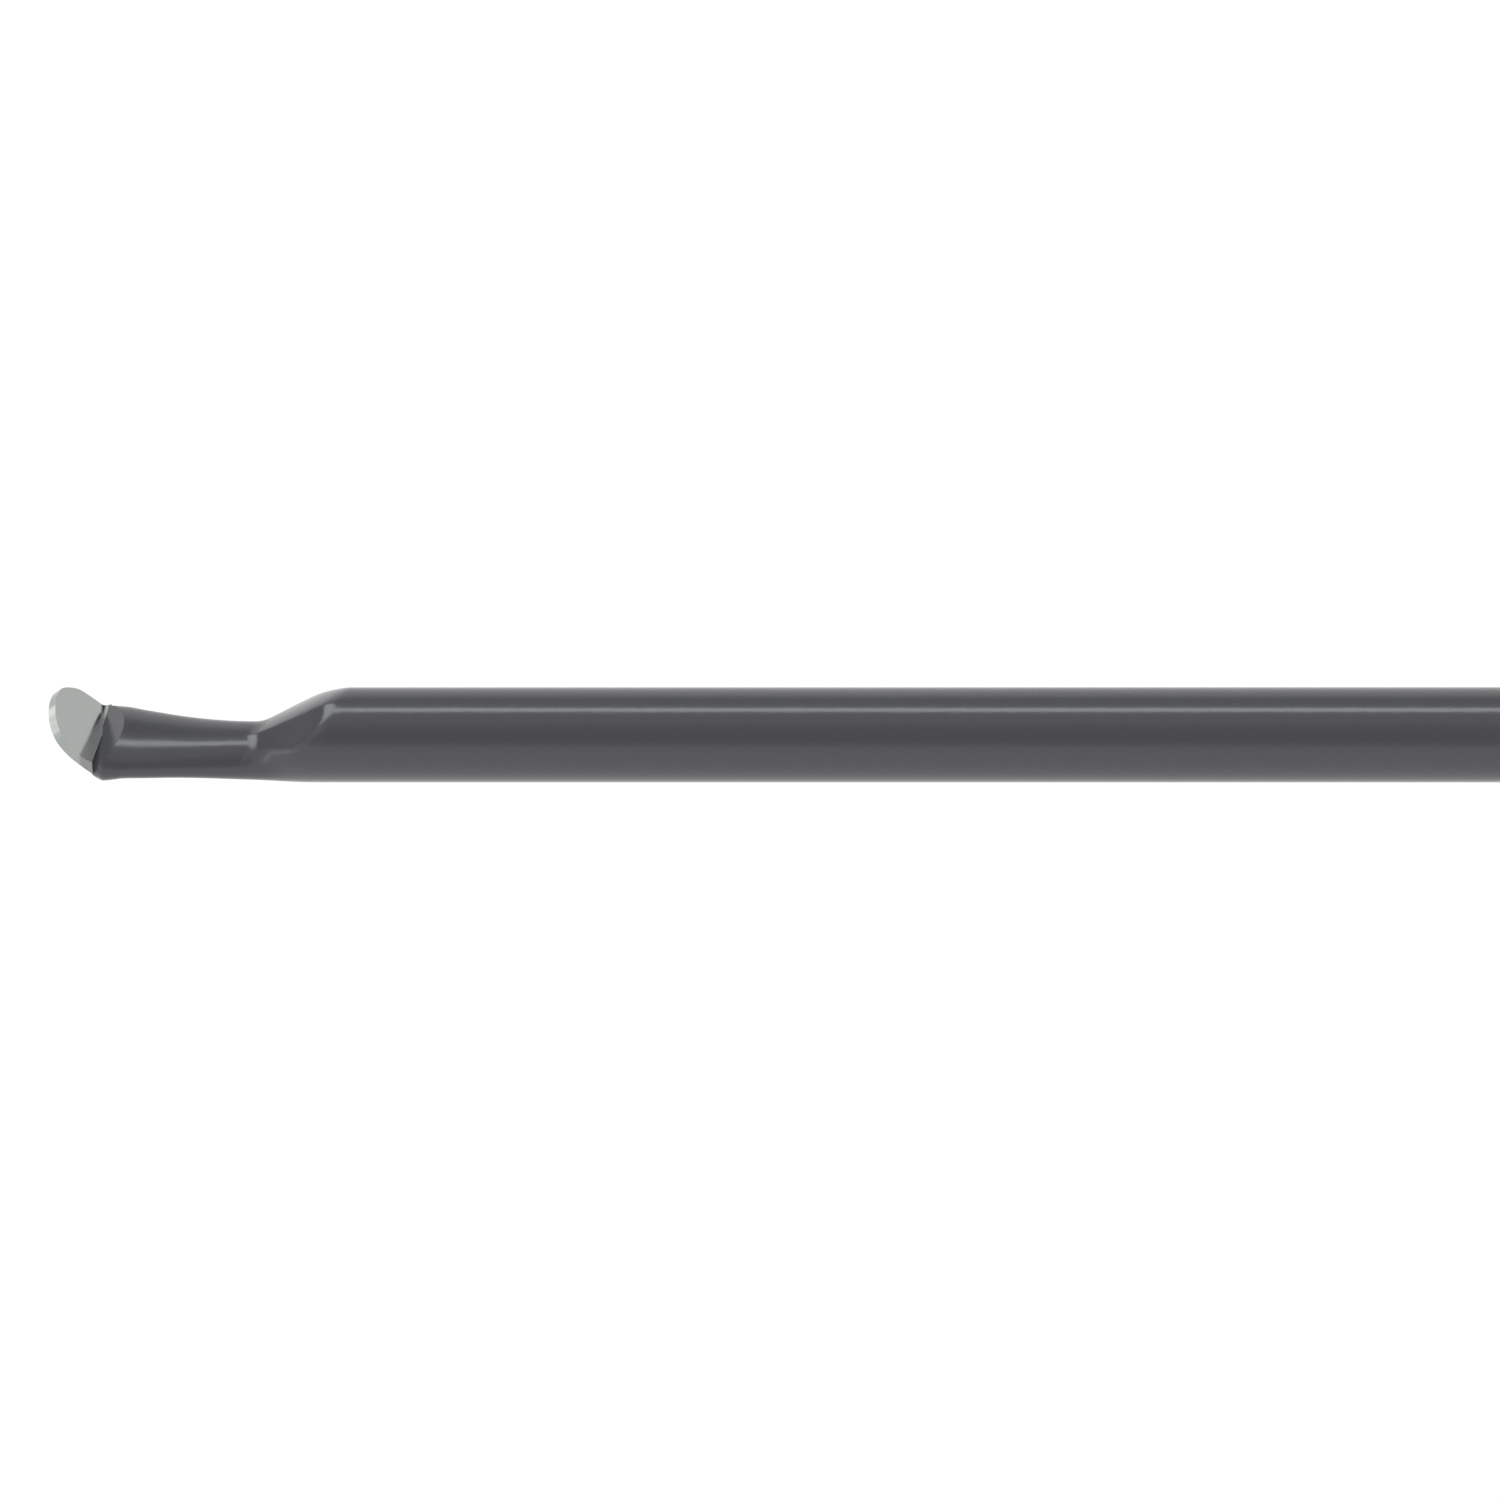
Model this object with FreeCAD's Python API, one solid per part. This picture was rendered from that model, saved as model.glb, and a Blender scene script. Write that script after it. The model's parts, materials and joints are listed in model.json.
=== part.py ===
import FreeCAD, Part
import math
import os

os.makedirs("parts", exist_ok=True)
V = FreeCAD.Vector

# ---------------------------------------------------------------- dimensions, mm
# Frame: X along the shaft, blade at -X, handle at +X, +Z the way the blade curves up.
# Origin on the shaft axis at the front face of the handle's nose.
SHAFT_R = 2.5            # insulated shaft, outside
WALL = 0.4               # insulation wall
CORE_R = SHAFT_R - WALL  # steel tube, outside
TUBE_BORE_R = 1.6
TUBE_FRONT = -314.2
TUBE_REAR = 48.0
SLEEVE_REAR = 31.0
SLEEVE_LAND = 0.2        # plain outside diameter ends here, inside the nose nut's mouth
SLEEVE_REAR_R = 2.3      # reduced inside the handle
STEP_BACK = -312.9       # where the step's loft meets the plain shaft

BEND = math.radians(48.0)        # blade angle above the shaft axis
SKEW = 0.17                      # the front end's trims run this much askew, X per Y
CUT_X = -327.36                  # trimmed front edge of the insulation, on the centre plane
SLOPE_X, SLOPE_Z = -326.10, 0.52  # where the neck's top starts to slope down to the blade
SLOPE = math.radians(27.0)       # slope of the insulation there
CORE_SLOPE = math.radians(20.0)  # slope of the steel under it
HEEL_WALL = 0.24                 # insulation under the heel of the blade
PLUG_FRONT = -319.4              # split between tip plug and blade shank
PLUG_SPIGOT = 9.0
SHANK_PIN_R = 0.9
SHANK_PIN = 6.0

BLADE_T = 0.5
BLADE_X0, BLADE_Z0 = -327.343, -0.145    # point on the blade's inner face, on the centre plane
BLADE_OUTLINE = [(-1.6, 2.30), (-0.3, 2.30), (0.5, 2.31), (1.2, 2.29), (1.5, 2.265), (1.8, 2.205),
                 (2.16, 2.09), (2.4, 1.97), (2.65, 1.80), (2.88, 1.54), (3.04, 1.28),
                 (3.17, 0.97), (3.26, 0.62), (3.31, 0.0)]

# neck sections: X, half width, half thickness, centre height
NECK = [(-328.5, 1.80, 1.24, -0.62), (-327.77, 2.05, 1.28, -0.62), (-327.45, 2.22, 1.33, -0.62),
        (-327.12, 2.41, 1.34, -0.62), (-326.55, 2.41, 1.20, -0.60),
        (-326.19, 2.39, 1.11, -0.585), (-325.0, 2.24, 1.08, -0.715), (-323.14, 2.00, 1.07, -0.92),
        (-321.5, 1.86, 1.11, -1.08), (-319.98, 1.79, 1.18, -1.18), (-318.5, 1.78, 1.20, -1.21),
        (-313.0, 1.78, 1.20, -1.21)]
# the sides draw in from shaft (0) to neck (1), against X
SIDES = [(-320.2, 1.0), (-319.4, 0.93), (-318.6, 0.74), (-317.8, 0.42), (-317.0, 0.14), (-316.2, 0.02), (-315.6, 0.0)]
# height of the step's ridge line, against X
RIDGE = [(-321.0, -0.9), (-320.0, -0.42), (-319.4, -0.02), (-318.9, 0.22), (-318.3, 0.56), (-317.6, 1.00), (-316.6, 1.66),
         (-315.9, 2.11), (-315.5, 2.32), (-315.1, 2.50), (-314.6, 2.72), (-314.0, 3.05), (-312.0, 4.2)]
ROOF_NEAR, ROOF_FAR = (0.17, 0.0), (0.38, 0.11)   # fall of the near and far flanks, Z per Y and per Y squared

# handle
NUT_L, NUT_R = 12.0, 5.0
SPIGOT_R = 3.95
BODY_FRONT, BODY_REAR, BODY_R = 12.0, 84.0, 6.5
BLOCK_FRONT, BLOCK_REAR, BLOCK_R = 32.0, 56.0, 4.45
POCKET_R = 4.5
POST_X, POST_R, POST_TOP = 52.0, 2.0, 26.5
POST_SHANK_R, COLLAR_TOP = 2.3, 11.0
CAP_THREAD_R = 5.0
FLAT_Z = -6.1


def curve(table, x):
    """Monotone cubic through (x, y) pairs in rising x."""
    xs = [t[0] for t in table]
    ys = [t[1] for t in table]
    n = len(xs)
    if x <= xs[0]:
        return ys[0]
    if x >= xs[-1]:
        return ys[-1]
    d = [(ys[i + 1] - ys[i]) / (xs[i + 1] - xs[i]) for i in range(n - 1)]
    m = [0.0] * n
    m[0], m[-1] = d[0], d[-1]
    for i in range(1, n - 1):
        m[i] = 0.0 if d[i - 1] * d[i] <= 0 else 2 * d[i - 1] * d[i] / (d[i - 1] + d[i])
    i = max(j for j in range(n - 1) if xs[j] <= x)
    h = xs[i + 1] - xs[i]
    t = (x - xs[i]) / h
    return ((1 + 2 * t) * (1 - t) ** 2 * ys[i] + t * (1 - t) ** 2 * h * m[i]
            + t * t * (3 - 2 * t) * ys[i + 1] + t * t * (t - 1) * h * m[i + 1])


def neck(x):
    return tuple(curve([(r[0], r[k]) for r in NECK], x) for k in (1, 2, 3))


def soft_min(a, b, k):
    h = max(k - abs(a - b), 0.0) / k
    return min(a, b) - h * h * k / 4.0


def soft_max(a, b, k):
    h = max(k - abs(a - b), 0.0) / k
    return max(a, b) + h * h * k / 4.0


def section(x, phi, inset):
    """Half-profile point of the step and neck at x, at angle phi from the top, drawn in by inset."""
    a, b, zc = neck(x)
    a, b, big = a - inset, b - inset, SHAFT_R - inset
    s, c = math.sin(phi), math.cos(phi)
    rn = 1.0 / math.hypot(s / a, c / b)
    rc = -zc * c + math.sqrt(big * big - (zc * s) ** 2)
    w = curve(SIDES, x)
    full = r = (1.0 - w) * rc + w * rn
    # the step's roof: two flanks falling from a ridge on the centre plane, the far one rounded
    f1, f2 = ROOF_FAR if s > 0 else ROOF_NEAR
    qa = f2 * s * s
    qb = c + f1 * (math.sqrt(s * s + 0.0012) - 0.0346)
    qc = max(0.02, curve(RIDGE, x) - inset - zc)
    bend = qb + math.sqrt(qb * qb + 4.0 * qa * qc)
    if bend > 0.04:
        r = soft_min(r, 2.0 * qc / bend, 0.22)
    r = min(full, soft_max(r, rn, 0.20))
    return r * s, r * c, zc


def ring(x, inset, n=40):
    pts = []
    for i in range(n):
        y, q, zc = section(x, 2 * math.pi * i / n, inset)
        pts.append(V(x, y, zc + q))
    return pts


def closed(pts):
    c = Part.BSplineCurve()
    c.interpolate(pts, PeriodicFlag=True)
    return Part.Wire(c.toShape())


co, si = math.cos(BEND), math.sin(BEND)


def on_blade(s, w, n):
    """s along the blade from its root, w across it, n above its inner face."""
    return V(BLADE_X0 - s * co + n * si, w, BLADE_Z0 + s * si + n * co)


def stations():
    return [STEP_BACK, -313.3, -313.8, -314.2, -314.6, -314.9, -315.2, -315.5, -315.8, -316.1, -316.4, -316.8, -317.2,
            -317.6, -318.0, -318.4, -318.7, -319.0, -319.3, -319.6, -320.0, -320.5, -321.2, -322.0, -323.0, -324.0,
            -325.0, -325.6, -326.0, -326.4, -326.8, -327.12, -327.45, -327.77, -328.2]


def half_space(point, tilt, skew):
    """Big block under a plane through point, turned by tilt about Y and then by skew, X per Y, about Z."""
    block = Part.makeBox(80, 80, 40, V(-40, -40, -40))
    block.rotate(V(0, 0, 0), V(0, 1, 0), math.degrees(tilt))
    block.rotate(V(0, 0, 0), V(0, 0, 1), -math.degrees(math.atan(skew)))
    block.translate(point)
    return block


def rear_of_cut(x, depth=30):
    block = Part.makeBox(depth, 20, 20, V(0, -10, -10))
    block.rotate(V(0, 0, 0), V(0, 0, 1), -math.degrees(math.atan(SKEW)))
    block.translate(V(x, 0, 0))
    return block


def tip_form(inset, slope, cut):
    """Solid of the step, the neck and its sloped front end, drawn in by inset."""
    rings = [ring(x, inset + 0.002 if x == STEP_BACK else inset) for x in stations()]
    whole = Part.makeLoft([closed(r) for r in rings], True, True)
    keep = half_space(V(SLOPE_X, 0, SLOPE_Z - inset), -slope, SKEW)
    if cut:
        keep = keep.common(rear_of_cut(CUT_X))
    keep = keep.cut(half_space(on_blade(0.0, 0, -BLADE_T - (HEEL_WALL if cut else 0.0)), BEND, 0.0))
    return whole.common([keep], 1e-3)


def lathe(points):
    """Solid of revolution about the X axis from (x, r) pairs."""
    w = Part.makePolygon([V(x, 0, r) for x, r in points] + [V(points[0][0], 0, points[0][1])])
    return Part.Face(w).revolve(V(0, 0, 0), V(1, 0, 0), 360)


def rod(x0, x1, r):
    return Part.makeCylinder(r, x1 - x0, V(x0, 0, 0), V(1, 0, 0))


def o_ring(major, minor, at, axis):
    return Part.makeTorus(major, minor, at, axis)


def save(name, shape):
    if isinstance(shape, (list, tuple)):
        shape = Part.makeCompound(list(shape))
    if shape.ShapeType == "Compound" and len(shape.Solids) == 1:
        shape = shape.Solids[0]
    if not shape.isValid():
        shape.fix(1e-4, 1e-5, 1e-3)
    print(name, "solids", len(shape.Solids), "valid", shape.isValid(), "volume %.2f" % shape.Volume,
          [round(v, 2) for v in (shape.BoundBox.XMin, shape.BoundBox.YMin, shape.BoundBox.ZMin,
                                 shape.BoundBox.XMax, shape.BoundBox.YMax, shape.BoundBox.ZMax)])
    shape.exportStep("parts/%s.step" % name)


# ---------------------------------------------------------------- tip
outer_form = tip_form(0.0, SLOPE, True)
core_form = tip_form(WALL, CORE_SLOPE, False)
print("forms", round(outer_form.Volume, 2), round(core_form.Volume, 2))

# steel tube
tube = rod(TUBE_FRONT, TUBE_REAR, CORE_R).cut(rod(TUBE_FRONT - 1, TUBE_REAR + 1, TUBE_BORE_R))
save("shaft_tube", tube)

# tip plug: stepped nose brazed into the front of the tube, bored for the shank's pin
nose_form = core_form.common([Part.makeBox(TUBE_FRONT - PLUG_FRONT, 10, 10, V(PLUG_FRONT, -5, -5))], 1e-4)
pin_z = neck(PLUG_FRONT)[2]
spigot = rod(TUBE_FRONT - 0.01, TUBE_FRONT + PLUG_SPIGOT, TUBE_BORE_R)
plug = nose_form.fuse(spigot)
if not plug.isValid() or len(plug.Solids) != 1:
    print("plug fuse", plug.isValid(), len(plug.Solids))
pin = Part.makeCylinder(0.72, SHANK_PIN, V(PLUG_FRONT, 0, pin_z), V(1, 0, 0))
plug = plug.cut(pin).removeSplitter()
save("tip_plug", plug)

# blade: thin upturned plate, thickened bend, flattened shank and pin, in one piece
up = [on_blade(s, w, 1.6) for s, w in BLADE_OUTLINE]
down = [on_blade(s, -w, 1.6) for s, w in reversed(BLADE_OUTLINE[:-1])]
front_pts = up[4:] + down[:-4]
spl = Part.BSplineCurve()
spl.interpolate(front_pts)
sides_up = [Part.makeLine(up[i], up[i + 1]) for i in range(4)]
tail = down[-5:]
sides_down = [Part.makeLine(tail[i], tail[i + 1]) for i in range(4)]
outline = Part.Wire(Part.__sortEdges__(sides_up + [spl.toShape()] + sides_down + [Part.makeLine(tail[-1], up[0])]))
prism = Part.Face(outline).extrude(V(-3.6 * si, 0, -3.6 * co))

# side profile of the blade, with the hollow where its face runs into the shank rounded out
meet = on_blade(-0.12, 0, 0)
rise = math.tan(CORE_SLOPE)
profile = Part.makePolygon([on_blade(4.2, 0, 0), meet, V(-325.6, 0, meet.z + rise * (-325.6 - meet.x)),
                            V(-325.6, 0, -1.6), on_blade(-1.05, 0, -BLADE_T), on_blade(4.2, 0, -BLADE_T),
                            on_blade(4.2, 0, 0)])
slab = Part.Face(profile).extrude(V(0, 6, 0))
slab.translate(V(0, -3, 0))
hollow = [e for e in slab.Edges if abs(e.BoundBox.XMin - meet.x) < 1e-4 and abs(e.BoundBox.XMax - meet.x) < 1e-4]
slab = slab.makeFillet(0.95, hollow)

shank = core_form.common([Part.makeBox(12, 10, 10, V(PLUG_FRONT - 12, -5, -5))], 1e-4)
shank = shank.common([rear_of_cut(CUT_X)], 1e-4)
pin = Part.makeCylinder(0.7, SHANK_PIN - 0.1, V(PLUG_FRONT - 0.01, 0, pin_z), V(1, 0, 0))
ahead = Part.makeBox(8, 12, 12, V(-8, -6, -6))
ahead.rotate(V(0, 0, 0), V(0, 0, 1), -math.degrees(math.atan(SKEW)))
ahead.translate(V(CUT_X, 0, 0))
front = slab.common(prism).common(rod(-331, -320, SHAFT_R)).common(ahead)
print("blade pieces", round(shank.Volume, 2), round(front.Volume, 2), round(pin.Volume, 2))
blade = shank.fuse([front, pin], 1e-4).removeSplitter()
save("spatula_blade", blade)

# insulation: one sleeve over tube, step and neck, trimmed where the neck runs into the blade
front = outer_form.cut([core_form], 1e-3)
if len(front.Solids) > 1:
    front = max(front.Solids, key=lambda q: q.Volume)
rear = rod(STEP_BACK, SLEEVE_LAND, SHAFT_R).fuse(rod(SLEEVE_LAND, SLEEVE_REAR, SLEEVE_REAR_R))
rear = rear.cut(rod(STEP_BACK - 1, SLEEVE_REAR + 1, CORE_R))
sleeve = front.fuse([rear], 1e-3)
save("insulation_sleeve", sleeve)

# ---------------------------------------------------------------- handle
# nose nut
nut = lathe([(0.8, SHAFT_R + 0.06), (0, 3.75), (0.4, 4.1), (3.5, NUT_R), (11.6, NUT_R), (NUT_L, NUT_R - 0.4),
             (NUT_L, SPIGOT_R + 0.05), (3.0, SPIGOT_R + 0.05), (3.0, SHAFT_R + 0.06)])
for k in range(12):
    a = 2 * math.pi * k / 12
    nut = nut.cut(Part.makeCylinder(0.55, 7.0, V(4.6, (NUT_R + 0.18) * math.cos(a), (NUT_R + 0.18) * math.sin(a)), V(1, 0, 0)))
save("nose_nut", nut)

save("nose_seal", o_ring(SLEEVE_REAR_R + 0.70, 0.70, V(3.72, 0, 0), V(1, 0, 0)))
save("gland_washer", lathe([(4.45, SHAFT_R + 0.05), (4.45, SPIGOT_R), (5.45, SPIGOT_R), (5.45, SHAFT_R + 0.05)]))

# handle body
g = []
x = 17.0
outer = [(5.5, SPIGOT_R), (BODY_FRONT, SPIGOT_R), (BODY_FRONT, 5.2), (14.2, BODY_R)]
while x < 41.5:
    outer += [(x, BODY_R), (x + 0.4, BODY_R - 0.55), (x + 1.4, BODY_R - 0.55), (x + 1.8, BODY_R)]
    x += 3.5
outer += [(60.0, BODY_R), (62.5, 6.0), (78.0, 6.0), (80.0, BODY_R), (83.4, BODY_R), (BODY_REAR, BODY_R - 0.5),
          (BODY_REAR, 6.0), (82.9, 6.0), (82.9, CAP_THREAD_R + 0.05), (70.0, CAP_THREAD_R + 0.05), (70.0, POCKET_R),
          (BLOCK_FRONT, POCKET_R), (BLOCK_FRONT, SHAFT_R + 0.05), (5.5, SHAFT_R + 0.05)]
body = lathe(outer)
body = body.cut(Part.makeCylinder(3.25, 12, V(POST_X, 0, 3), V(0, 0, 1)))
boss_cut = Part.makeCylinder(4.6, 6, V(POST_X, 0, 6.0), V(0, 0, 1))
body = body.cut(boss_cut)
body = body.cut(Part.makeBox(90, 20, 4, V(0, -10, FLAT_Z - 4)))
save("handle_body", body)

# contact block, with a blind bore for the tube, two grub screw holes below, a tapped hole above
block = rod(BLOCK_FRONT + 0.02, BLOCK_REAR, BLOCK_R).cut(rod(BLOCK_FRONT - 1, TUBE_REAR + 0.05, CORE_R + 0.02))
block = block.cut(Part.makeCylinder(1.5, 3.6, V(POST_X, 0, 1.0), V(0, 0, 1)))
block = block.cut(Part.makeCylinder(3.1, 2, V(POST_X, 0, 4.0), V(0, 0, 1)))
for sx in (36.5, 43.5):
    block = block.cut(Part.makeCylinder(1.5, 4, V(sx, 0, -1.0), V(0, 0, -1)))
save("contact_block", block)


def grub(sx):
    s = Part.makeCylinder(1.47, 2.2, V(sx, 0, -2.12), V(0, 0, -1))
    hexa = Part.makePolygon([V(sx + 0.87 * math.cos(math.pi * k / 3), 0.87 * math.sin(math.pi * k / 3), -4.4) for k in range(7)])
    return s.cut(Part.Face(hexa).extrude(V(0, 0, 1.4)))


save("grub_screws", [grub(36.5), grub(43.5)])
save("tube_end_plug", rod(42.0, 47.0, TUBE_BORE_R - 0.02))

# connector post: threaded foot, flange, shank through the collar, plain pin with a rounded end
post = Part.makePolygon([V(POST_X, 0, 1.02), V(POST_X + 1.47, 0, 1.02), V(POST_X + 1.47, 0, 4.0), V(POST_X + 3.0, 0, 4.0),
                         V(POST_X + 3.0, 0, 4.9), V(POST_X + POST_SHANK_R, 0, 4.9), V(POST_X + POST_SHANK_R, 0, COLLAR_TOP),
                         V(POST_X + POST_R, 0, COLLAR_TOP), V(POST_X + POST_R, 0, POST_TOP - 1.0),
                         V(POST_X + POST_R - 0.3, 0, POST_TOP - 0.35), V(POST_X + POST_R - 0.9, 0, POST_TOP),
                         V(POST_X, 0, POST_TOP), V(POST_X, 0, 1.02)])
post = Part.Face(post).revolve(V(POST_X, 0, 0), V(0, 0, 1), 360)
save("connector_post", post)
save("post_seal", o_ring(POST_SHANK_R + 0.45, 0.45, V(POST_X, 0, 5.38), V(0, 0, 1)))

# insulating collar round the post, seated in the body
collar = Part.makePolygon([V(POST_X + POST_SHANK_R + 0.05, 0, 5.86), V(POST_X + 3.2, 0, 5.86), V(POST_X + 3.2, 0, 6.02),
                           V(POST_X + 4.55, 0, 6.02), V(POST_X + 4.55, 0, 7.6), V(POST_X + 4.15, 0, 8.0),
                           V(POST_X + 3.5, 0, 8.4), V(POST_X + 3.25, 0, COLLAR_TOP - 0.4), V(POST_X + 2.9, 0, COLLAR_TOP),
                           V(POST_X + POST_SHANK_R + 0.05, 0, COLLAR_TOP), V(POST_X + POST_SHANK_R + 0.05, 0, 5.86)])
collar = Part.Face(collar).revolve(V(POST_X, 0, 0), V(0, 0, 1), 360)
save("post_collar", collar)

# spacer behind the block, rear cap and its seal
save("rear_spacer", lathe([(BLOCK_REAR, 2.6), (BLOCK_REAR, BLOCK_R), (69.9, BLOCK_R), (69.9, 2.6)]))
cap = lathe([(70.0, 0.0), (70.0, CAP_THREAD_R - 0.6), (70.6, CAP_THREAD_R), (BODY_REAR, CAP_THREAD_R), (BODY_REAR, BODY_R - 0.3),
             (BODY_REAR + 0.4, BODY_R), (BODY_REAR + 3.4, BODY_R), (BODY_REAR + 4.6, BODY_R - 0.4),
             (BODY_REAR + 5.6, BODY_R - 1.4), (BODY_REAR + 6.0, BODY_R - 2.6), (BODY_REAR + 6.0, 0.0)])
cap = cap.cut(Part.makeBox(3, 1.6, 20, V(BODY_REAR + 4.8, -0.8, -10)))
cap = cap.cut(Part.makeBox(20, 20, 4, V(BODY_REAR - 0.1, -10, FLAT_Z - 4)))
save("rear_cap", cap)
save("rear_seal", o_ring(CAP_THREAD_R + 0.48, 0.48, V(83.45, 0, 0), V(1, 0, 0)))
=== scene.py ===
"""Insulated spatula electrode: visible surfaces rebuilt finely over the CAD frame, plain studio."""

import json
import math

import bmesh
import bpy
from mathutils import Matrix, Vector

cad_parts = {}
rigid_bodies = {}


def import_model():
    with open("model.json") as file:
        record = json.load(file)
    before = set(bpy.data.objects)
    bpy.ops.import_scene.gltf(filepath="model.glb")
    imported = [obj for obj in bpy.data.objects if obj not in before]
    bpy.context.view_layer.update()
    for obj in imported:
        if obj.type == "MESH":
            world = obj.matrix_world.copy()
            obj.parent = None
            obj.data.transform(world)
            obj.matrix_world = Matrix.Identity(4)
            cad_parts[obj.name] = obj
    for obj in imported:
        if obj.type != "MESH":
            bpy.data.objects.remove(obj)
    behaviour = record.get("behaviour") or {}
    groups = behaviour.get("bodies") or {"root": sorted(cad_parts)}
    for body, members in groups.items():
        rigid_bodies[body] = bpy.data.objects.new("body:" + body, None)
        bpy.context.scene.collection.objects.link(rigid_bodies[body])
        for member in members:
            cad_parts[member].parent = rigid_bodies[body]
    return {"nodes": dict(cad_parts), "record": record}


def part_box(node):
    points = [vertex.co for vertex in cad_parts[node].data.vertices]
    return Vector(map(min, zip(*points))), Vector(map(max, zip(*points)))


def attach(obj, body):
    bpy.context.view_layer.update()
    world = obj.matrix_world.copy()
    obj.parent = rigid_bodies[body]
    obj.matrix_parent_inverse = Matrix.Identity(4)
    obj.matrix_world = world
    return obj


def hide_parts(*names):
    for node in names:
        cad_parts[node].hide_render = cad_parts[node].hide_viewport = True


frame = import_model()
M = 0.001

# ---------------------------------------------------------------- dimensions, mm (as the CAD)
SHAFT_R = 2.5
STEP_BACK = -312.9
SLEEVE_LAND = 0.2
BEND = math.radians(48.0)
SKEW = 0.17
CUT_X = -327.36
SLOPE_X, SLOPE_Z = -326.10, 0.52
SLOPE = math.radians(27.0)
CORE_SLOPE = math.radians(20.0)
HEEL_WALL = 0.24
BLADE_T = 0.5
BLADE_X0, BLADE_Z0 = -327.343, -0.145
BLADE_OUTLINE = [(-1.6, 2.30), (-0.3, 2.30), (0.5, 2.31), (1.2, 2.29), (1.5, 2.265), (1.8, 2.205),
                 (2.16, 2.09), (2.4, 1.97), (2.65, 1.80), (2.88, 1.54), (3.04, 1.28),
                 (3.17, 0.97), (3.26, 0.62), (3.31, 0.0)]
NECK = [(-328.5, 1.80, 1.24, -0.62), (-327.77, 2.05, 1.28, -0.62), (-327.45, 2.22, 1.33, -0.62),
        (-327.12, 2.41, 1.34, -0.62), (-326.55, 2.41, 1.20, -0.60),
        (-326.19, 2.39, 1.11, -0.585), (-325.0, 2.24, 1.08, -0.715), (-323.14, 2.00, 1.07, -0.92),
        (-321.5, 1.86, 1.11, -1.08), (-319.98, 1.79, 1.18, -1.18), (-318.5, 1.78, 1.20, -1.21),
        (-313.0, 1.78, 1.20, -1.21)]
# the sides draw in from shaft (0) to neck (1), against X
SIDES = [(-320.2, 1.0), (-319.4, 0.93), (-318.6, 0.74), (-317.8, 0.42), (-317.0, 0.14), (-316.2, 0.02), (-315.6, 0.0)]
# height of the step's ridge line, against X
RIDGE = [(-321.0, -0.9), (-320.0, -0.42), (-319.4, -0.02), (-318.9, 0.22), (-318.3, 0.56), (-317.6, 1.00), (-316.6, 1.66),
         (-315.9, 2.11), (-315.5, 2.32), (-315.1, 2.50), (-314.6, 2.72), (-314.0, 3.05), (-312.0, 4.2)]
ROOF_NEAR, ROOF_FAR = (0.17, 0.0), (0.38, 0.11)   # fall of the near and far flanks, Z per Y and per Y squared
co, si = math.cos(BEND), math.sin(BEND)
TIP_S = BLADE_OUTLINE[-1][0]


def curve(table, x):
    xs = [t[0] for t in table]
    ys = [t[1] for t in table]
    n = len(xs)
    if x <= xs[0]:
        return ys[0]
    if x >= xs[-1]:
        return ys[-1]
    d = [(ys[i + 1] - ys[i]) / (xs[i + 1] - xs[i]) for i in range(n - 1)]
    m = [0.0] * n
    m[0], m[-1] = d[0], d[-1]
    for i in range(1, n - 1):
        m[i] = 0.0 if d[i - 1] * d[i] <= 0 else 2 * d[i - 1] * d[i] / (d[i - 1] + d[i])
    i = max(j for j in range(n - 1) if xs[j] <= x)
    h = xs[i + 1] - xs[i]
    t = (x - xs[i]) / h
    return ((1 + 2 * t) * (1 - t) ** 2 * ys[i] + t * (1 - t) ** 2 * h * m[i]
            + t * t * (3 - 2 * t) * ys[i + 1] + t * t * (t - 1) * h * m[i + 1])


def soft_min(a, b, k):
    h = max(k - abs(a - b), 0.0) / k
    return min(a, b) - h * h * k / 4.0


def soft_max(a, b, k):
    h = max(k - abs(a - b), 0.0) / k
    return max(a, b) + h * h * k / 4.0


def section(x, phi):
    a, b, zc = (curve([(r[0], r[k]) for r in NECK], x) for k in (1, 2, 3))
    big = SHAFT_R
    s, c = math.sin(phi), math.cos(phi)
    rn = 1.0 / math.hypot(s / a, c / b)
    rc = -zc * c + math.sqrt(big * big - (zc * s) ** 2)
    w = curve(SIDES, x)
    full = r = (1.0 - w) * rc + w * rn
    # the step's roof: two flanks falling from a ridge on the centre plane, the far one rounded
    f1, f2 = ROOF_FAR if s > 0 else ROOF_NEAR
    qa = f2 * s * s
    qb = c + f1 * (math.sqrt(s * s + 0.0012) - 0.0346)
    qc = max(0.02, curve(RIDGE, x) - zc)
    bend = qb + math.sqrt(qb * qb + 4.0 * qa * qc)
    if bend > 0.04:
        r = soft_min(r, 2.0 * qc / bend, 0.22)
    r = min(full, soft_max(r, rn, 0.20))
    return r * s, zc + r * c


def on_blade(s, w, n):
    return Vector((BLADE_X0 - s * co + n * si, w, BLADE_Z0 + s * si + n * co))


# ---------------------------------------------------------------- mesh helpers
def add_mesh(name, verts, faces, sharp=35.0):
    me = bpy.data.meshes.new(name)
    me.from_pydata([tuple(M * v for v in p) for p in verts], [], faces)
    me.validate()
    ob = bpy.data.objects.new(name, me)
    bpy.context.scene.collection.objects.link(ob)
    finish_mesh(ob, sharp)
    return ob


def finish_mesh(ob, sharp=35.0):
    bm = bmesh.new()
    bm.from_mesh(ob.data)
    bmesh.ops.recalc_face_normals(bm, faces=bm.faces)
    bm.to_mesh(ob.data)
    bm.free()
    for p in ob.data.polygons:
        p.use_smooth = True
    ob.data.set_sharp_from_angle(angle=math.radians(sharp))


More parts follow.
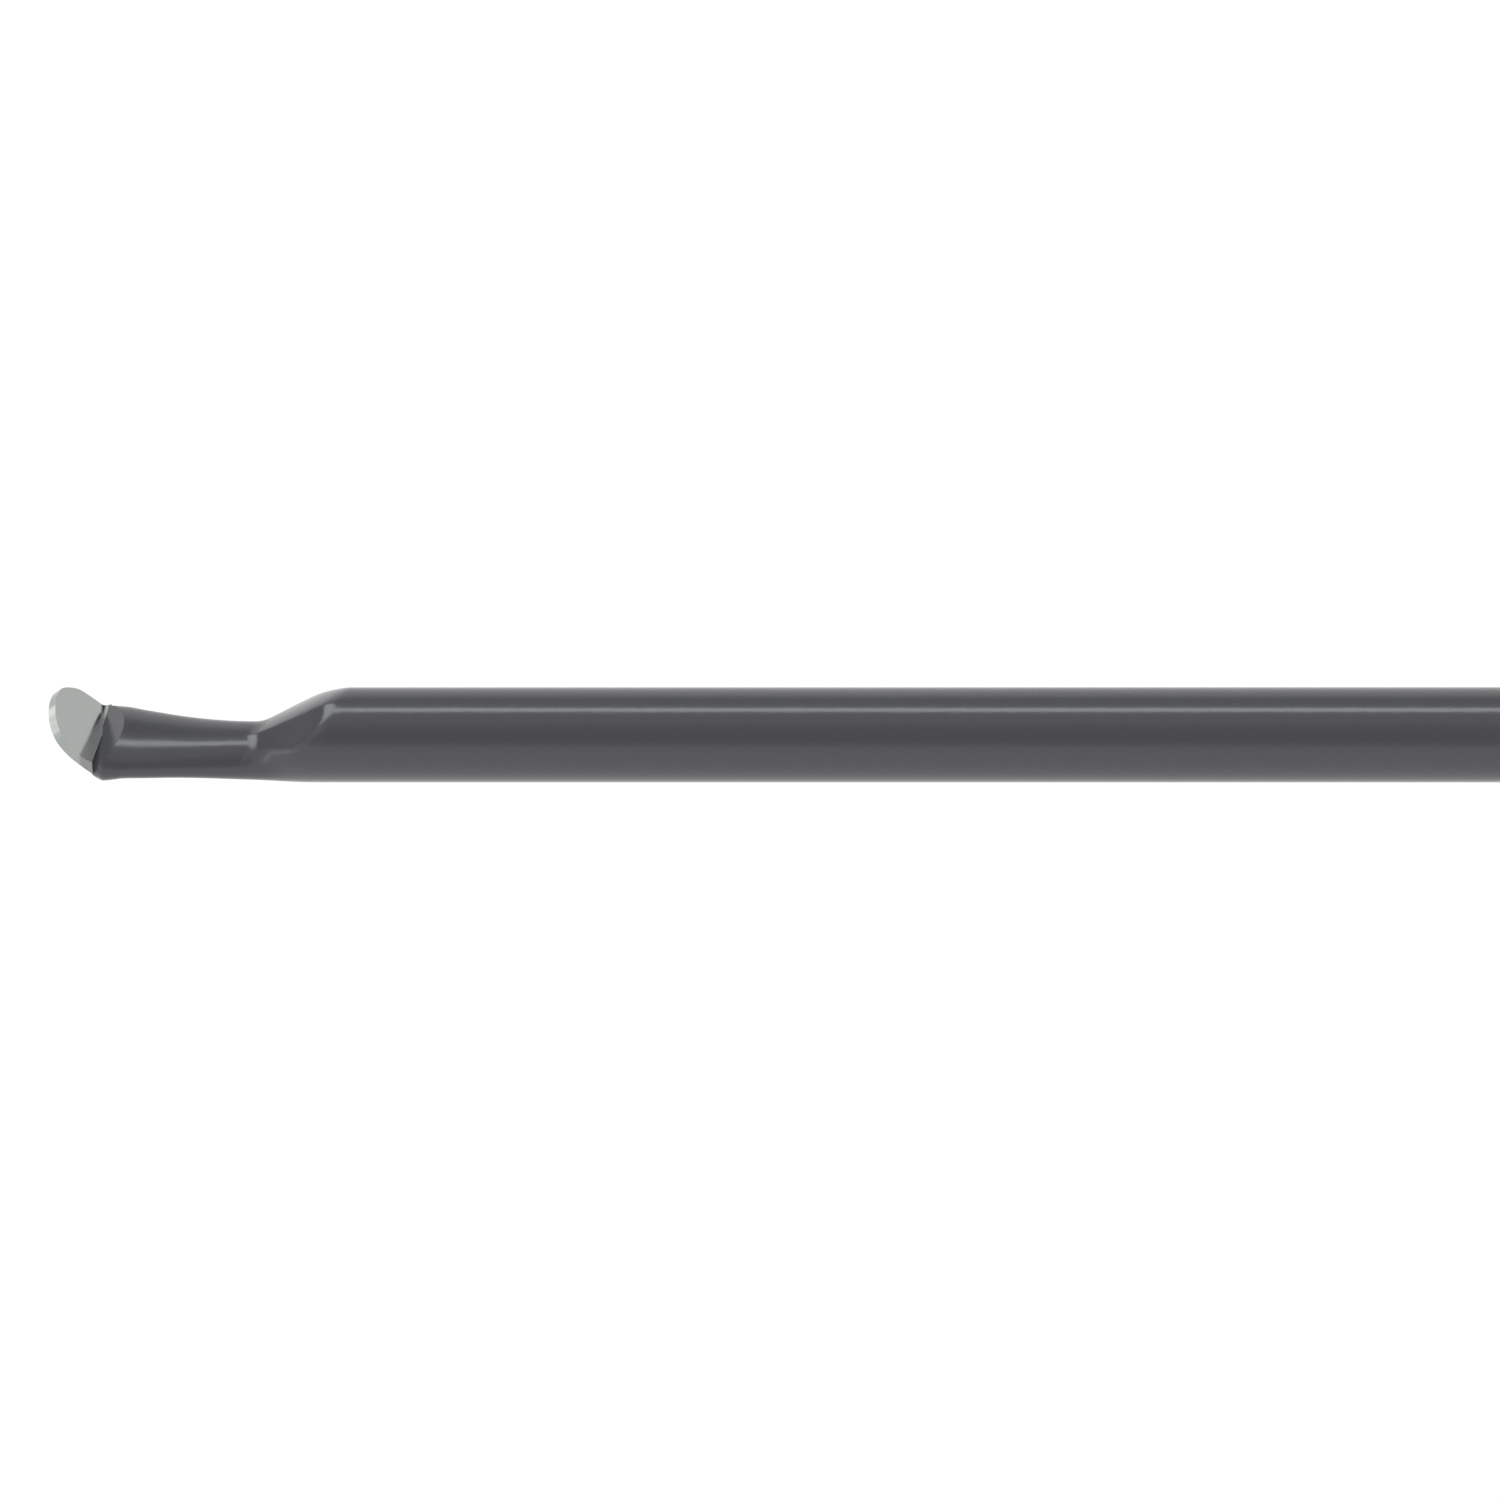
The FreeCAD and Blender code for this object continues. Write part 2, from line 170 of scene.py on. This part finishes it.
def tube_mesh(rings, cap=True):
    n = len(rings[0])
    verts = [p for r in rings for p in r]
    faces = []
    for i in range(len(rings) - 1):
        for j in range(n):
            k = (j + 1) % n
            faces.append((i * n + j, i * n + k, (i + 1) * n + k, (i + 1) * n + j))
    if cap:
        faces.append(tuple(range(n - 1, -1, -1)))
        faces.append(tuple(range((len(rings) - 1) * n, len(rings) * n)))
    return verts, faces


def bisect(ob, point, normal):
    """Cuts away what lies on the side normal points to and closes the cut with a flat face."""
    bm = bmesh.new()
    bm.from_mesh(ob.data)
    geom = list(bm.verts) + list(bm.edges) + list(bm.faces)
    out = bmesh.ops.bisect_plane(bm, geom=geom, dist=1e-8, plane_co=Vector(point) * M, plane_no=normal, clear_outer=True)
    edges = [e for e in out["geom_cut"] if isinstance(e, bmesh.types.BMEdge)]
    bmesh.ops.edgenet_fill(bm, edges=edges)
    bm.to_mesh(ob.data)
    bm.free()


def lathe(name, profile, axis="X", at=(0, 0, 0), n=128, sharp=35.0):
    """Revolves (along, radius) pairs; a closed loop of pairs makes a ring."""
    verts, faces = [], []
    for a, r in profile:
        for j in range(n):
            t = 2 * math.pi * j / n
            if axis == "X":
                verts.append((at[0] + a, at[1] + r * math.sin(t), at[2] + r * math.cos(t)))
            else:
                verts.append((at[0] + r * math.cos(t), at[1] + r * math.sin(t), at[2] + a))
    m = len(profile)
    for i in range(m):
        k = (i + 1) % m
        if profile[i][1] < 1e-6 and profile[k][1] < 1e-6:
            continue
        for j in range(n):
            q = (j + 1) % n
            faces.append((i * n + j, i * n + q, k * n + q, k * n + j))
    me = bpy.data.meshes.new(name)
    me.from_pydata([tuple(M * v for v in p) for p in verts], [], faces)
    ob = bpy.data.objects.new(name, me)
    bpy.context.scene.collection.objects.link(ob)
    bm = bmesh.new()
    bm.from_mesh(me)
    bmesh.ops.remove_doubles(bm, verts=bm.verts, dist=1e-8)
    bm.to_mesh(me)
    bm.free()
    finish_mesh(ob, sharp)
    return ob


def bevel(ob, width, segments=3, angle=35.0):
    m = ob.modifiers.new("bevel", "BEVEL")
    m.width = width * M
    m.segments = segments
    m.limit_method = "ANGLE"
    m.angle_limit = math.radians(angle)
    m.harden_normals = True
    return m


# ---------------------------------------------------------------- insulation
N = 240
xs = []
x = -328.4
while x < STEP_BACK:
    xs.append(x)
    x += 0.05 if (-319.5 < x < -313.5) else 0.08
xs += [STEP_BACK]
rings = []
for x in xs:
    ring = []
    for j in range(N):
        u = 2 * math.pi * j / N
        y, z = section(x, u - 0.5 * math.sin(u))
        ring.append((x, y, z))
    rings.append(ring)
last = [(y, z) for _, y, z in rings[-1]]
for x in (-300.0, -270.0, -240.0, -200.0, -150.0, -100.0, -50.0, SLEEVE_LAND):
    rings.append([(x, y, z) for y, z in last])
for r in (2.3,):
    for x in (SLEEVE_LAND, 31.0):
        rings.append([(x, y * r / SHAFT_R, z * r / SHAFT_R) for y, z in last])
v, f = tube_mesh(rings)
sleeve = add_mesh("sleeve_surface", v, f)
turn = Matrix.Rotation(-math.atan(SKEW), 3, "Z")
bisect(sleeve, (SLOPE_X, 0, SLOPE_Z), turn @ Vector((-math.sin(SLOPE), 0, math.cos(SLOPE))))
bisect(sleeve, (CUT_X, 0, 0), turn @ Vector((-1, 0, 0)))
bisect(sleeve, on_blade(0, 0, -BLADE_T - HEEL_WALL), Vector((-si, 0, -co)))
finish_mesh(sleeve, 16.0)
bevel(sleeve, 0.07, 3, 16.0)

# ---------------------------------------------------------------- blade
meet = (-0.12, 0.0)
back = (-math.cos(CORE_SLOPE) * co + math.sin(CORE_SLOPE) * si,
        math.cos(CORE_SLOPE) * si + math.sin(CORE_SLOPE) * co)      # (s, n) step backwards along the shank's slope
half = math.acos(max(-1, min(1, back[0]))) / 2.0                    # half the angle between face and slope
PATH_FLAT, PATH_BEND = 61, 24


def face_path(w):
    """(s, n) points of the blade's inner face, at w across it, from its tip to the hidden shank."""
    radius = max(0.30, min(2.1, 0.98 - 0.50 * w))
    run = radius / math.tan(half)
    c0 = meet[0] + run
    pts = []
    # stations crowd towards the tip so that the rounded end stays smooth
    for i in range(PATH_FLAT):
        q = i / (PATH_FLAT - 1.0)
        pts.append((TIP_S - (TIP_S - c0) * q * q, 0.0))
    for i in range(1, PATH_BEND + 1):
        a = -math.pi / 2 - (math.pi - 2 * half) * i / PATH_BEND
        pts.append((c0 + radius * math.cos(a), radius + radius * math.sin(a)))
    far = (meet[0] + back[0] * 3.0, meet[1] + back[1] * 3.0)
    last = pts[-1]
    for k in (0.33, 0.66, 1.0):
        pts.append((last[0] + (far[0] - last[0]) * k, last[1] + (far[1] - last[1]) * k))
    return pts


def half_width(s, n):
    z = BLADE_Z0 + s * si + n * co
    return min(tip_curve(s), math.sqrt(max(0.0, SHAFT_R ** 2 - z * z)))


def tip_curve(s):
    """Blade half width; the rounded end is interpolated on its polar angle so that it closes smoothly."""
    if s <= 1.2:
        return curve([(q[0], q[1]) for q in BLADE_OUTLINE], s)
    if s >= TIP_S:
        return 0.0
    t = [(-(TIP_S - q[0]) ** 0.5, q[1]) for q in BLADE_OUTLINE if q[0] > 0.4]
    return curve(t, -(TIP_S - s) ** 0.5)


def blade_mesh():
    W = 48
    ws = [-1 + 2 * j / W for j in range(W + 1)]
    cols = [face_path(w * 2.3) for w in ws]
    rows = []
    for i in range(len(cols[0])):
        row = []
        for j, w in enumerate(ws):
            s, n = cols[j][i]
            row.append(on_blade(s, w * half_width(s, n), n))
        for j in range(W, -1, -1):
            s, n = cols[j][i]
            row.append(on_blade(s, ws[j] * half_width(s, -BLADE_T), -BLADE_T))
        rows.append(row)
    n = len(rows[0])
    verts = [tuple(p) for r in rows for p in r]
    faces = []
    for i in range(len(rows) - 1):
        for j in range(n):
            k = (j + 1) % n
            faces.append((i * n + j, i * n + k, (i + 1) * n + k, (i + 1) * n + j))
    faces.append(tuple((len(rows) - 1) * n + j for j in range(n)))
    return verts, faces


v, f = blade_mesh()
me = bpy.data.meshes.new("blade_surface")
me.from_pydata([tuple(M * c for c in p) for p in v], [], f)
blade = bpy.data.objects.new("blade_surface", me)
bpy.context.scene.collection.objects.link(blade)
bm = bmesh.new()
bm.from_mesh(me)
bmesh.ops.remove_doubles(bm, verts=bm.verts, dist=2e-7)
bm.to_mesh(me)
bm.free()
bisect(blade, (CUT_X + 0.12, 0, 0), turn @ Vector((1, 0, 0)))
finish_mesh(blade, 40.0)
bevel(blade, 0.07, 3, 50.0)


# ---------------------------------------------------------------- materials
def material(name, base, rough, metal=0.0, ior=1.5, bump=0.0, bump_scale=2500.0, mottle=0.0, coat=0.0):
    m = bpy.data.materials.new(name)
    m.use_nodes = True
    nt = m.node_tree
    b = nt.nodes["Principled BSDF"]
    b.inputs["Base Color"].default_value = (*base, 1.0)
    b.inputs["Roughness"].default_value = rough
    b.inputs["Metallic"].default_value = metal
    b.inputs["IOR"].default_value = ior
    b.inputs["Coat Weight"].default_value = coat
    if bump or mottle:
        geo = nt.nodes.new("ShaderNodeTexCoord")
        noise = nt.nodes.new("ShaderNodeTexNoise")
        noise.inputs["Scale"].default_value = bump_scale
        noise.inputs["Detail"].default_value = 4.0
        nt.links.new(geo.outputs["Object"], noise.inputs["Vector"])
        if bump:
            bp = nt.nodes.new("ShaderNodeBump")
            bp.inputs["Strength"].default_value = bump
            bp.inputs["Distance"].default_value = 0.00002
            nt.links.new(noise.outputs["Fac"], bp.inputs["Height"])
            nt.links.new(bp.outputs["Normal"], b.inputs["Normal"])
        if mottle:
            ramp = nt.nodes.new("ShaderNodeMix")
            ramp.data_type = "RGBA"
            ramp.inputs["A"].default_value = (*[c * (1 - mottle) for c in base], 1.0)
            ramp.inputs["B"].default_value = (*[c * (1 + mottle) for c in base], 1.0)
            nt.links.new(noise.outputs["Fac"], ramp.inputs["Factor"])
            nt.links.new(ramp.outputs["Result"], b.inputs["Base Color"])
    return m


insulation = material("insulation", (0.079, 0.079, 0.086), 0.17, ior=1.47, bump=0.25, bump_scale=3500.0, mottle=0.06)
steel = material("steel", (0.385, 0.405, 0.39), 0.13, metal=1.0, bump=0.05, bump_scale=6000.0)
handle = material("handle", (0.03, 0.03, 0.032), 0.32, bump=0.15, bump_scale=2500.0)
nickel = material("nickel", (0.70, 0.68, 0.63), 0.16, metal=1.0)
seal = material("seal", (0.02, 0.02, 0.02), 0.6)

# the blade is rougher where it bends into the insulation; its colour is also darkened there, painted shade standing in
# for the dark insulation reflected in the bend
nt = steel.node_tree
pr = nt.nodes["Principled BSDF"]
where = nt.nodes.new("ShaderNodeTexCoord")
split = nt.nodes.new("ShaderNodeSeparateXYZ")
nt.links.new(where.outputs["Object"], split.inputs[0])
skewed = nt.nodes.new("ShaderNodeMath")
skewed.operation = "MULTIPLY_ADD"
nt.links.new(split.outputs[1], skewed.inputs[0])
skewed.inputs[1].default_value = -0.2375
nt.links.new(split.outputs[0], skewed.inputs[2])
zone = nt.nodes.new("ShaderNodeMapRange")
zone.interpolation_type = "SMOOTHSTEP"
zone.inputs["From Min"].default_value = -327.80 * M
zone.inputs["From Max"].default_value = -327.62 * M
nt.links.new(skewed.outputs[0], zone.inputs["Value"])
dull = nt.nodes.new("ShaderNodeMapRange")
dull.inputs["To Min"].default_value = 0.13
dull.inputs["To Max"].default_value = 0.42
nt.links.new(zone.outputs["Result"], dull.inputs["Value"])
nt.links.new(dull.outputs["Result"], pr.inputs["Roughness"])
# base colour darkens across the bend zone: painted shade for the dark insulation reflected there
bend_painted_shade = nt.nodes.new("ShaderNodeMix")
bend_painted_shade.data_type = "RGBA"
bend_painted_shade.inputs["A"].default_value = (0.385, 0.405, 0.39, 1.0)
bend_painted_shade.inputs["B"].default_value = (0.30, 0.30, 0.30, 1.0)
nt.links.new(zone.outputs["Result"], bend_painted_shade.inputs["Factor"])
nt.links.new(bend_painted_shade.outputs["Result"], pr.inputs["Base Color"])

slots = {"steel": steel, "insulation": insulation, "handle": handle, "nickel": nickel, "seal": seal}
node_slot = {s["node"]: s["material_slot"] for s in frame["record"]["subparts"]}
for node, ob in frame["nodes"].items():
    ob.data.materials.clear()
    ob.data.materials.append(slots[node_slot[node]])

for ob, mat, slot, nodes in ((sleeve, insulation, "insulation", ["insulation_sleeve"]),
                             (blade, steel, "steel", ["spatula_blade"])):
    ob.data.materials.clear()
    ob.data.materials.append(mat)
    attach(ob, "root")
    for nd in nodes:
        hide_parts(nd)

# ---------------------------------------------------------------- floor
# the electrode rests on the front of its handle and on the underside of the shaft near the tip
tilt = math.atan2(6.1 - 2.5, 12.6 + 314.0)
fm = bpy.data.materials.new("floor")
fm.use_nodes = True
nt = fm.node_tree
nt.nodes.clear()
em = nt.nodes.new("ShaderNodeEmission")
em.inputs["Color"].default_value = (1, 1, 1, 1)
em.inputs["Strength"].default_value = 1.02
outn = nt.nodes.new("ShaderNodeOutputMaterial")
nt.links.new(em.outputs[0], outn.inputs[0])
fme = bpy.data.meshes.new("floor")
S = 6.0
fme.from_pydata([(-S, -S, 0), (S, -S, 0), (S, S, 0), (-S, S, 0)], [], [(0, 1, 2, 3)])
floor = bpy.data.objects.new("floor", fme)
floor.location = (12.6 * M, 0, -6.12 * M)
floor.rotation_euler = (0, tilt, 0)
fme.materials.append(fm)
bpy.context.scene.collection.objects.link(floor)

# ---------------------------------------------------------------- surroundings
world = bpy.data.worlds.new("studio")
bpy.context.scene.world = world
world.use_nodes = True
nt = world.node_tree
nt.nodes.clear()


def node(kind, **kw):
    n = nt.nodes.new(kind)
    for k, val in kw.items():
        setattr(n, k, val)
    return n


def math_node(op, a, b=None, c=None, clamp=False):
    n = node("ShaderNodeMath", operation=op, use_clamp=clamp)
    for i, q in enumerate((a, b, c)):
        if q is None:
            continue
        if isinstance(q, (int, float)):
            n.inputs[i].default_value = q
        else:
            nt.links.new(q, n.inputs[i])
    return n.outputs[0]


def smooth(val, lo, hi, a, b):
    n = node("ShaderNodeMapRange", interpolation_type="SMOOTHSTEP")
    nt.links.new(val, n.inputs["Value"])
    n.inputs["From Min"].default_value = lo
    n.inputs["From Max"].default_value = hi
    n.inputs["To Min"].default_value = a
    n.inputs["To Max"].default_value = b
    return n.outputs["Result"]


tc = node("ShaderNodeTexCoord")
sep = node("ShaderNodeSeparateXYZ")
nt.links.new(tc.outputs["Generated"], sep.inputs[0])
dx, dy, dz = sep.outputs
roll = math_node("ARCTAN2", dy, dz)                                   # angle from straight up towards +Y
off = math_node("ABSOLUTE", math_node("SUBTRACT", roll, math.radians(20.0)))
strip = smooth(off, math.radians(3.5), math.radians(6.5), 1.0, 0.0)
reach = math_node("MULTIPLY", smooth(dx, -0.30, -0.22, 0.0, 1.0), smooth(dx, 0.80, 0.95, 1.0, 0.0))
strip = math_node("MULTIPLY", strip, reach)


def patch(x, y, z, inner, outer):
    """1 within the inner angle of a direction, falling to 0 at the outer one, degrees."""
    d = Vector((x, y, z)).normalized()
    dot = math_node("ADD", math_node("ADD", math_node("MULTIPLY", dx, d.x), math_node("MULTIPLY", dy, d.y)),
                    math_node("MULTIPLY", dz, d.z))
    return smooth(dot, math.cos(math.radians(outer)), math.cos(math.radians(inner)), 0.0, 1.0)


sky = smooth(dz, 0.15, 0.85, 1.0, 0.55)
keep = math_node("SUBTRACT", 1.0, math_node("MULTIPLY", patch(0.05, -0.70, 0.71, 3, 35), 0.80))
flag = math_node("SUBTRACT", 1.0, math_node("MULTIPLY", patch(0.30, 0.66, 0.68, 8, 20), 0.80))
flag = math_node("MULTIPLY", flag, math_node("SUBTRACT", 1.0, math_node("MULTIPLY", patch(0.60, 0.68, 0.42, 15, 24), 0.62)))
side = math_node("ABSOLUTE", math_node("SUBTRACT", roll, math.radians(50.0)))
side = math_node("MULTIPLY", smooth(side, math.radians(7), math.radians(16), 1.0, 0.0),
                 math_node("MULTIPLY", smooth(dx, -0.40, -0.28, 0.0, 1.0), smooth(dx, 0.5, 0.62, 1.0, 0.0)))
flag4 = math_node("SUBTRACT", 1.0, math_node("MULTIPLY", patch(-0.80, 0.42, 0.43, 8, 19), 0.8))
flag2 = math_node("MULTIPLY", flag4, math_node("SUBTRACT", 1.0, math_node("MULTIPLY", side, 0.5)))
base = math_node("MULTIPLY", math_node("MULTIPLY", sky, keep), math_node("MULTIPLY", flag, flag2))
card = math_node("MULTIPLY", smooth(dx, -0.72, -0.62, 1.0, 0.0), smooth(dz, 0.20, 0.34, 1.0, 0.0))
base = math_node("ADD", base, math_node("MULTIPLY", card, 0.85))
base = math_node("ADD", base, math_node("MULTIPLY", patch(-0.57, 0.77, 0.30, 5, 12), 0.6))
lamps = math_node("ADD", math_node("MULTIPLY", patch(-0.43, 0.44, 0.79, 9, 15), 4.0), math_node("MULTIPLY", strip, 4.8))
bg = node("ShaderNodeBackground")
nt.links.new(base, bg.inputs["Strength"])
bg.inputs["Color"].default_value = (1, 1, 1, 1)
bg2 = node("ShaderNodeBackground")
nt.links.new(lamps, bg2.inputs["Strength"])
bg2.inputs["Color"].default_value = (0.96, 1.0, 1.03, 1)
both = node("ShaderNodeAddShader")
nt.links.new(bg.outputs[0], both.inputs[0])
nt.links.new(bg2.outputs[0], both.inputs[1])
wo = node("ShaderNodeOutputWorld")
nt.links.new(both.outputs[0], wo.inputs[0])

# ---------------------------------------------------------------- camera
ELEV, YAW = math.radians(47.0), math.radians(2.9)
PX = 19.01
c, s = math.cos(ELEV), math.sin(ELEV)
T = Vector((math.sin(YAW), -math.cos(YAW) * c, math.cos(YAW) * s))
U = Vector((0, s, c))
R = U.cross(T)
aim = Vector((-327.343, 0, 0)) + R * ((750 - 100) / PX) + U * ((734.85 - 750) / PX)
cam_data = bpy.data.cameras.new("camera")
cam_data.lens = 600.0
cam_data.sensor_width = 36.0
cam_data.clip_start = 0.01
cam_data.clip_end = 100.0
cam = bpy.data.objects.new("camera", cam_data)
bpy.context.scene.collection.objects.link(cam)
dist = cam_data.lens / 36.0 * (1500 / PX)
rot = Matrix((R, U, T)).transposed().to_4x4()
cam.matrix_world = Matrix.Translation((aim + T * dist) * M) @ rot
bpy.context.scene.camera = cam
bpy.context.scene.view_settings.view_transform = "Standard"
bpy.context.scene.view_settings.look = "None"
bpy.context.scene.view_settings.exposure = 0.0

# ---------------------------------------------------------------- sizes
lo, hi = Vector((1e9,) * 3), Vector((-1e9,) * 3)
for nd in frame["nodes"]:
    a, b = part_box(nd)
    lo = Vector(map(min, lo, a))
    hi = Vector(map(max, hi, b))
vlo, vhi = Vector((1e9,) * 3), Vector((-1e9,) * 3)
bpy.context.view_layer.update()
for ob in bpy.context.scene.objects:
    if ob.type == "MESH" and ob is not floor:
        for q in ob.bound_box:
            p = ob.matrix_world @ Vector(q)
            vlo = Vector(map(min, vlo, p))
            vhi = Vector(map(max, vhi, p))
